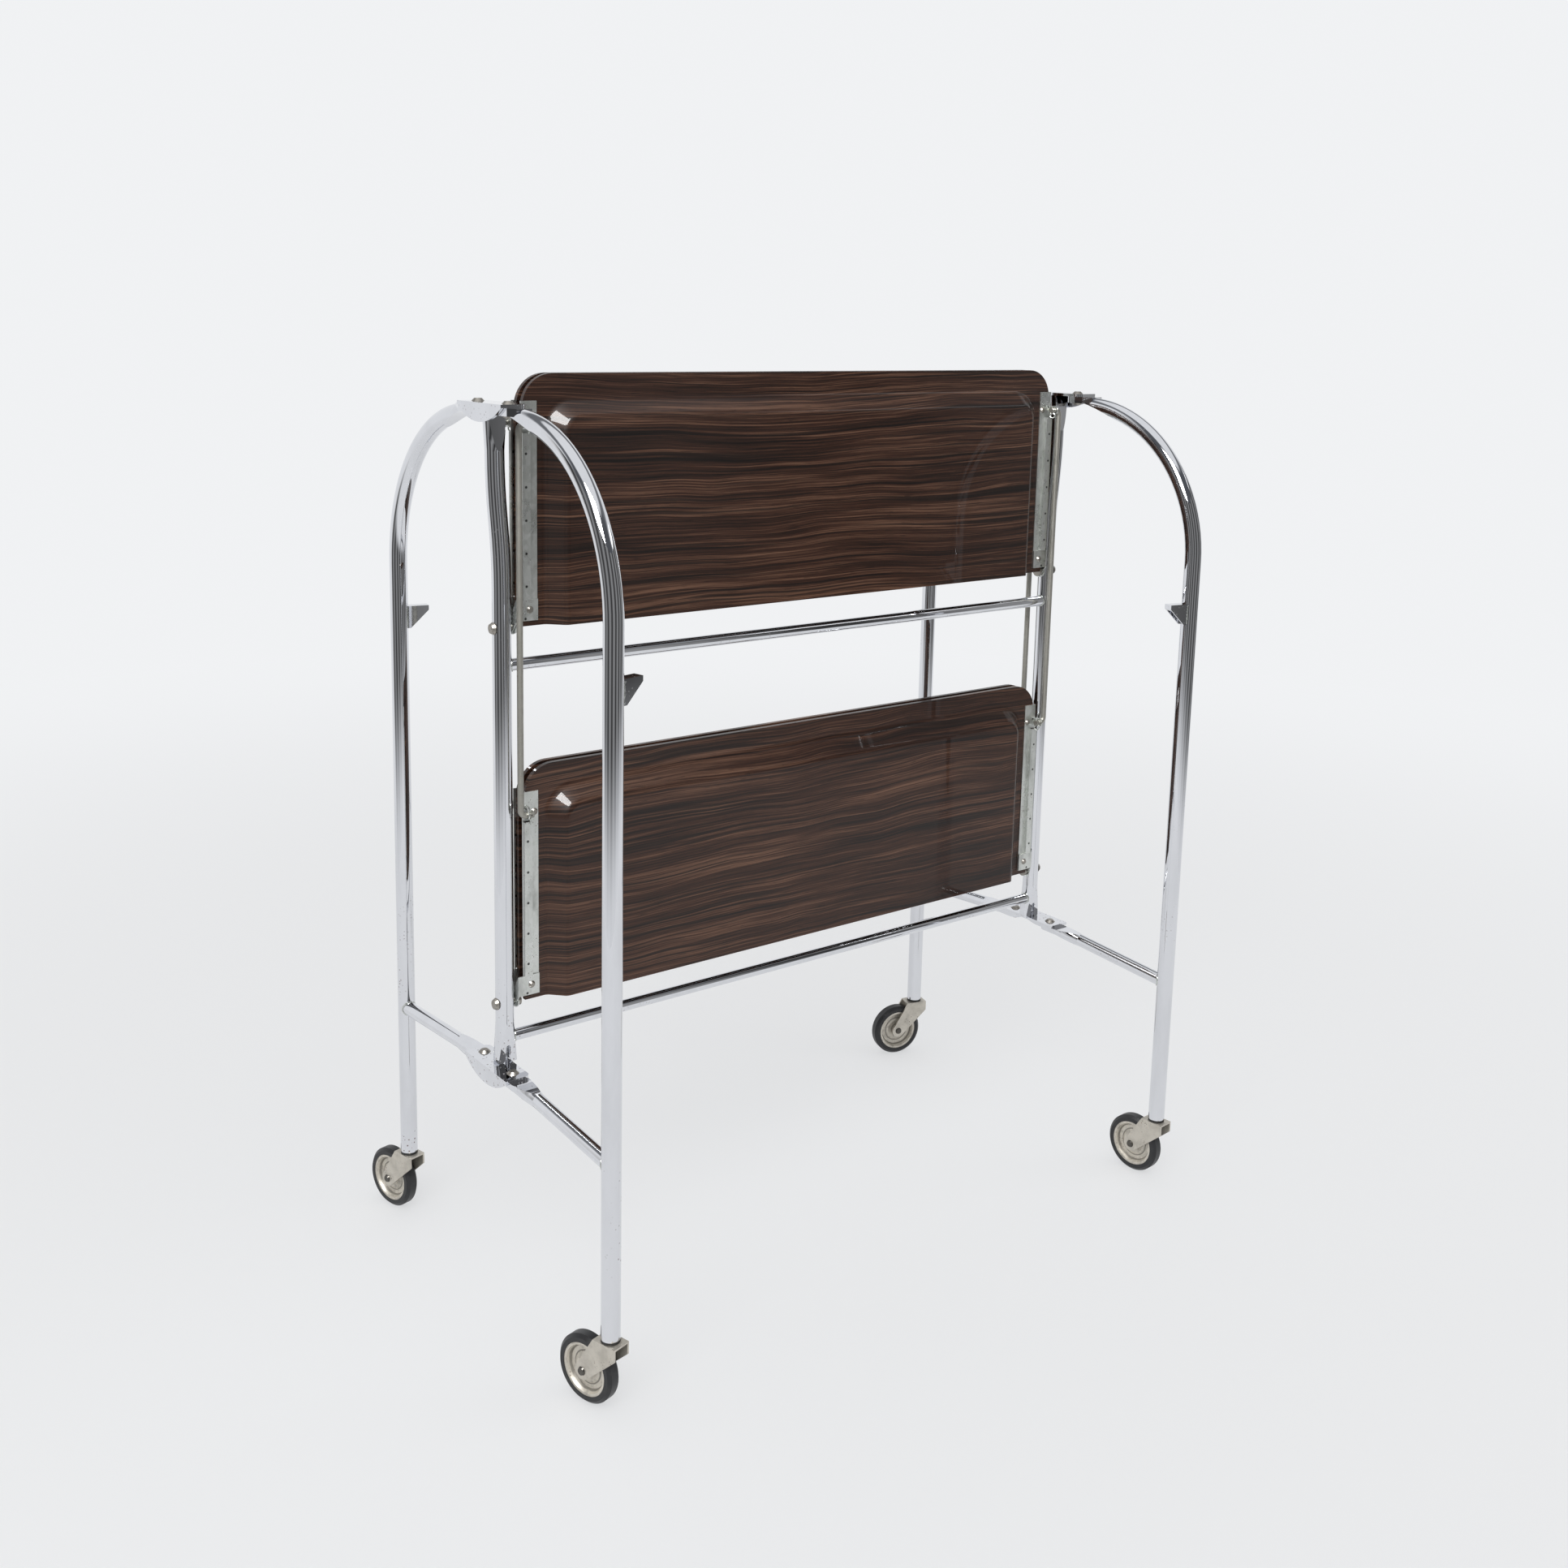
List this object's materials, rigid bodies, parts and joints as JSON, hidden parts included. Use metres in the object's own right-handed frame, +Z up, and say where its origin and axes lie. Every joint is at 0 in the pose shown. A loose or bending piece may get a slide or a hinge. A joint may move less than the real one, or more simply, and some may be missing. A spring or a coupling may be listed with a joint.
{
  "type": "folding tea trolley",
  "caption": "Folding tea trolley on castors: a tube frame with hinged arched legs and upper and lower trays whose leaves swing down level, linked by rods.",
  "frame": {"origin": "on the floor, under the centre of the box that holds the trolley as it stands with its leaves folded up", "axes": "+X along the trays, +Y from the front to the back, +Z up"},
  "size_m": [0.6425, 0.405, 0.7616],
  "materials": {
    "chrome_tube": "bright chrome plating",
    "walnut_laminate": "glossy dark walnut grain",
    "galvanised_steel": "galvanised sheet",
    "rod_steel": "dull drawn wire",
    "nickel_steel": "worn nickel plate",
    "rivet_steel": "worn plated steel",
    "tyre_rubber": "matt black",
    "socket_plastic": "black"
  },
  "bodies": {
    "frame": {"post_left": "chrome_tube", "post_right": "chrome_tube", "upper_rail": "chrome_tube", "lower_rail": "chrome_tube", "top_clip_left": "chrome_tube", "top_clip_right": "chrome_tube", "bottom_clip_left": "chrome_tube", "bottom_clip_right": "chrome_tube", "hinge_rivets": "rivet_steel", "pivot_bolts": "rivet_steel"},
    "leg_front_left": {"leg_tube_front_left": "chrome_tube", "stretcher_front_left": "chrome_tube", "tray_bracket_front_left": "chrome_tube", "castor_socket_front_left": "socket_plastic"},
    "leg_front_right": {"leg_tube_front_right": "chrome_tube", "stretcher_front_right": "chrome_tube", "tray_bracket_front_right": "chrome_tube", "castor_socket_front_right": "socket_plastic"},
    "leg_rear_left": {"leg_tube_rear_left": "chrome_tube", "stretcher_rear_left": "chrome_tube", "tray_bracket_rear_left": "chrome_tube", "castor_socket_rear_left": "socket_plastic"},
    "leg_rear_right": {"leg_tube_rear_right": "chrome_tube", "stretcher_rear_right": "chrome_tube", "tray_bracket_rear_right": "chrome_tube", "castor_socket_rear_right": "socket_plastic"},
    "castor_front_left": {"castor_fork_front_left": "nickel_steel", "castor_axle_front_left": "rivet_steel"},
    "wheel_front_left": {"wheel_disc_front_left": "nickel_steel", "tyre_front_left": "tyre_rubber"},
    "castor_front_right": {"castor_fork_front_right": "nickel_steel", "castor_axle_front_right": "rivet_steel"},
    "wheel_front_right": {"wheel_disc_front_right": "nickel_steel", "tyre_front_right": "tyre_rubber"},
    "castor_rear_left": {"castor_fork_rear_left": "nickel_steel", "castor_axle_rear_left": "rivet_steel"},
    "wheel_rear_left": {"wheel_disc_rear_left": "nickel_steel", "tyre_rear_left": "tyre_rubber"},
    "castor_rear_right": {"castor_fork_rear_right": "nickel_steel", "castor_axle_rear_right": "rivet_steel"},
    "wheel_rear_right": {"wheel_disc_rear_right": "nickel_steel", "tyre_rear_right": "tyre_rubber"},
    "leaf_upper_front": {"tray_panel_upper_front": "walnut_laminate", "tray_straps_upper_front": "galvanised_steel", "strap_screws_upper_front": "rivet_steel"},
    "leaf_upper_rear": {"tray_panel_upper_rear": "walnut_laminate", "tray_straps_upper_rear": "galvanised_steel", "strap_screws_upper_rear": "rivet_steel"},
    "leaf_lower_front": {"tray_panel_lower_front": "walnut_laminate", "tray_straps_lower_front": "galvanised_steel", "strap_screws_lower_front": "rivet_steel"},
    "leaf_lower_rear": {"tray_panel_lower_rear": "walnut_laminate", "tray_straps_lower_rear": "galvanised_steel", "strap_screws_lower_rear": "rivet_steel"},
    "rod_front_left": {"link_rod_front_left": "rod_steel"},
    "rod_front_right": {"link_rod_front_right": "rod_steel"},
    "rod_rear_left": {"link_rod_rear_left": "rod_steel"},
    "rod_rear_right": {"link_rod_rear_right": "rod_steel"}
  },
  "joints": [
    {"name": "leg_front_left_fold", "type": "hinge", "parent": "frame", "child": "leg_front_left", "pos_m": [-0.306, -0.04215, 0.74], "axis": [0, 0, -1], "range_deg": [-80, 0]},
    {"name": "leg_front_right_fold", "type": "hinge", "parent": "frame", "child": "leg_front_right", "pos_m": [0.306, -0.04215, 0.74], "axis": [0, 0, 1], "range_deg": [-80, 0]},
    {"name": "leg_rear_left_fold", "type": "hinge", "parent": "frame", "child": "leg_rear_left", "pos_m": [-0.306, 0.00585, 0.74], "axis": [0, 0, 1], "range_deg": [-80, 0]},
    {"name": "leg_rear_right_fold", "type": "hinge", "parent": "frame", "child": "leg_rear_right", "pos_m": [0.306, 0.00585, 0.74], "axis": [0, 0, -1], "range_deg": [-80, 0]},
    {"name": "castor_front_left_swivel", "type": "hinge", "parent": "leg_front_left", "child": "castor_front_left", "pos_m": [-0.306, -0.19015, 0.06], "axis": [0, 0, 1], "continuous": true},
    {"name": "wheel_front_left_spin", "type": "hinge", "parent": "castor_front_left", "child": "wheel_front_left", "pos_m": [-0.31169, -0.1689, 0.027], "axis": [0.9659, 0.2588, 0], "continuous": true},
    {"name": "castor_front_right_swivel", "type": "hinge", "parent": "leg_front_right", "child": "castor_front_right", "pos_m": [0.306, -0.19015, 0.06], "axis": [0, 0, -1], "continuous": true},
    {"name": "wheel_front_right_spin", "type": "hinge", "parent": "castor_front_right", "child": "wheel_front_right", "pos_m": [0.30408, -0.16823, 0.027], "axis": [0.9962, 0.0872, 0], "continuous": true},
    {"name": "castor_rear_left_swivel", "type": "hinge", "parent": "leg_rear_left", "child": "castor_rear_left", "pos_m": [-0.306, 0.15385, 0.06], "axis": [0, 0, 1], "continuous": true},
    {"name": "wheel_rear_left_spin", "type": "hinge", "parent": "castor_rear_left", "child": "wheel_rear_left", "pos_m": [-0.31132, 0.1752, 0.027], "axis": [0.9703, 0.2419, 0], "continuous": true},
    {"name": "castor_rear_right_swivel", "type": "hinge", "parent": "leg_rear_right", "child": "castor_rear_right", "pos_m": [0.306, 0.15385, 0.06], "axis": [0, 0, 1], "continuous": true},
    {"name": "wheel_rear_right_spin", "type": "hinge", "parent": "castor_rear_right", "child": "wheel_rear_right", "pos_m": [0.28475, 0.15954, 0.027], "axis": [0.2588, 0.9659, 0], "continuous": true},
    {"name": "leaf_upper_front_drop", "type": "hinge", "parent": "frame", "child": "leaf_upper_front", "pos_m": [0, -0.01815, 0.567], "axis": [1, 0, 0], "range_deg": [0, 90]},
    {"name": "leaf_upper_rear_drop", "type": "hinge", "parent": "frame", "child": "leaf_upper_rear", "pos_m": [0, -0.01815, 0.567], "axis": [-1, 0, 0], "range_deg": [0, 90]},
    {"name": "leaf_lower_front_drop", "type": "hinge", "parent": "frame", "child": "leaf_lower_front", "pos_m": [0, -0.01815, 0.261], "axis": [1, 0, 0], "range_deg": [0, 90]},
    {"name": "leaf_lower_rear_drop", "type": "hinge", "parent": "frame", "child": "leaf_lower_rear", "pos_m": [0, -0.01815, 0.261], "axis": [-1, 0, 0], "range_deg": [0, 90]},
    {"name": "rod_front_left_hook", "type": "hinge", "parent": "leaf_upper_front", "child": "rod_front_left", "pos_m": [-0.292, -0.03215, 0.724], "axis": [1, 0, 0], "range_deg": [-90, 0]},
    {"name": "rod_front_right_hook", "type": "hinge", "parent": "leaf_upper_front", "child": "rod_front_right", "pos_m": [0.292, -0.03215, 0.724], "axis": [1, 0, 0], "range_deg": [-90, 0]},
    {"name": "rod_rear_left_hook", "type": "hinge", "parent": "leaf_upper_rear", "child": "rod_rear_left", "pos_m": [-0.292, -0.00415, 0.724], "axis": [-1, 0, 0], "range_deg": [-90, 0]},
    {"name": "rod_rear_right_hook", "type": "hinge", "parent": "leaf_upper_rear", "child": "rod_rear_right", "pos_m": [0.292, -0.00415, 0.724], "axis": [-1, 0, 0], "range_deg": [-90, 0]}
  ],
  "couplings": [
    {"joint": "leaf_lower_front_drop", "follows": "leaf_upper_front_drop", "ratio": 1},
    {"joint": "leaf_lower_rear_drop", "follows": "leaf_upper_rear_drop", "ratio": 1},
    {"joint": "rod_front_left_hook", "follows": "leaf_upper_front_drop", "ratio": -1},
    {"joint": "rod_front_right_hook", "follows": "leaf_upper_front_drop", "ratio": -1},
    {"joint": "rod_rear_left_hook", "follows": "leaf_upper_rear_drop", "ratio": -1},
    {"joint": "rod_rear_right_hook", "follows": "leaf_upper_rear_drop", "ratio": -1}
  ]
}
